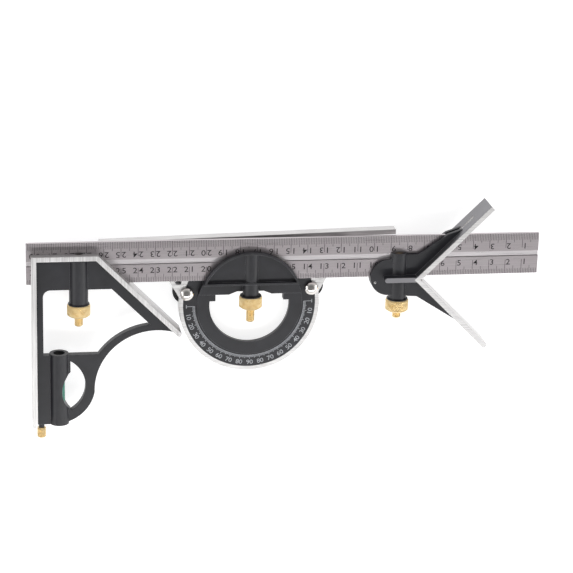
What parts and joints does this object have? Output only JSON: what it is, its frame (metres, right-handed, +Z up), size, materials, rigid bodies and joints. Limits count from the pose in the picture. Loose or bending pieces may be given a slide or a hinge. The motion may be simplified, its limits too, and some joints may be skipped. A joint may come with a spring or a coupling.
{
  "type": "combination square set",
  "caption": "Grooved steel rule carrying a square head with level and scriber, a protractor head and a centre head, each clamped by a knurled nut.",
  "frame": {"origin": "on the resting plane, midway along the rule and midway across the outline", "axes": "+X along the rule towards its zero end, +Y across the rule away from the clamp nuts, +Z up out of the graduated face"},
  "size_m": [0.305, 0.1404, 0.0212],
  "materials": {
    "rule_steel": "satin ground stainless steel with etched graduations",
    "cast_black": "satin black enamel on a cast head with ground faces",
    "brass": "turned and knurled brass",
    "chrome": "polished chrome plate",
    "spring_steel": "bright drawn spring wire",
    "tool_steel": "ground hardened steel",
    "blackened_steel": "blackened steel",
    "vial_acrylic": "green tinted acrylic",
    "vial_liquid": "green dyed spirit",
    "plug_white": "white plaster"
  },
  "bodies": {
    "rule": {"rule_blade": "rule_steel"},
    "square_head": {"square_head_casting": "cast_black", "square_clamp_washer": "blackened_steel", "square_clamp_spring": "spring_steel", "level_vial_tube": "vial_acrylic", "level_vial_liquid": "vial_liquid", "level_vial_plug": "plug_white", "scriber_collar": "blackened_steel"},
    "square_bolt": {"square_clamp_bolt": "brass"},
    "square_nut": {"square_clamp_nut": "brass"},
    "scriber": {"scriber_needle": "tool_steel", "scriber_knob": "brass"},
    "turret": {"protractor_turret": "cast_black", "turret_clamp_washer": "blackened_steel", "turret_clamp_spring": "spring_steel"},
    "turret_bolt": {"turret_clamp_bolt": "brass"},
    "turret_nut": {"turret_clamp_nut": "brass"},
    "protractor_arch": {"protractor_frame": "cast_black", "lock_screw_left": "tool_steel", "lock_screw_right": "tool_steel", "lock_plate_left": "blackened_steel", "lock_plate_right": "blackened_steel"},
    "left_lock_nut": {"lock_nut_left": "chrome"},
    "right_lock_nut": {"lock_nut_right": "chrome"},
    "centre_head": {"centre_head_casting": "cast_black", "centre_clamp_washer": "blackened_steel", "centre_clamp_spring": "spring_steel", "centre_stop_pin": "tool_steel"},
    "centre_bolt": {"centre_clamp_bolt": "brass"},
    "centre_nut": {"centre_clamp_nut": "brass"}
  },
  "joints": [
    {"name": "square_slide", "type": "slide", "parent": "rule", "child": "square_head", "axis": [1, 0, 0], "range_m": [-0.026, 0.0005]},
    {"name": "protractor_slide", "type": "slide", "parent": "rule", "child": "turret", "axis": [1, 0, 0], "range_m": [-0.0005, 0.01]},
    {"name": "centre_slide", "type": "slide", "parent": "rule", "child": "centre_head", "axis": [1, 0, 0], "range_m": [-0.01, 0.08]},
    {"name": "protractor_swing", "type": "hinge", "parent": "turret", "child": "protractor_arch", "pos_m": [-0.0207, 0.00854, 0.007], "axis": [0, 0, 1], "range_deg": [-4, 1.2]},
    {"name": "scriber_pull", "type": "slide", "parent": "square_head", "child": "scriber", "axis": [0, -1, 0], "range_m": [0, 0.045]},
    {"name": "square_nut_spin", "type": "hinge", "parent": "square_head", "child": "square_nut", "pos_m": [-0.1221, 0.00944, 0.012], "axis": [0, 1, 0], "range_deg": [0, 360]},
    {"name": "square_bolt_lift", "type": "slide", "parent": "square_head", "child": "square_bolt", "axis": [0, 1, 0], "range_m": [0, 0.0008]},
    {"name": "turret_nut_spin", "type": "hinge", "parent": "turret", "child": "turret_nut", "pos_m": [-0.0207, 0.01184, 0.012], "axis": [0, 1, 0], "range_deg": [0, 360]},
    {"name": "turret_bolt_lift", "type": "slide", "parent": "turret", "child": "turret_bolt", "axis": [0, 1, 0], "range_m": [0, 0.0008]},
    {"name": "centre_nut_spin", "type": "hinge", "parent": "centre_head", "child": "centre_nut", "pos_m": [0.0677, 0.00774, 0.012], "axis": [0, 1, 0], "range_deg": [0, 360]},
    {"name": "centre_bolt_lift", "type": "slide", "parent": "centre_head", "child": "centre_bolt", "axis": [0, 1, 0], "range_m": [0, 0.0008]},
    {"name": "lock_nut_left_spin", "type": "hinge", "parent": "protractor_arch", "child": "left_lock_nut", "pos_m": [-0.05811, 0.01574, 0.008], "axis": [0, 0, 1], "range_deg": [0, 180]},
    {"name": "lock_nut_right_spin", "type": "hinge", "parent": "protractor_arch", "child": "right_lock_nut", "pos_m": [0.01632, 0.01756, 0.008], "axis": [0, 0, 1], "range_deg": [0, 180]}
  ],
  "couplings": [
    {"joint": "square_bolt_lift", "follows": "square_nut_spin", "m_per_rad": 0.0001272},
    {"joint": "turret_bolt_lift", "follows": "turret_nut_spin", "m_per_rad": 0.0001272},
    {"joint": "centre_bolt_lift", "follows": "centre_nut_spin", "m_per_rad": 0.0001272}
  ]
}
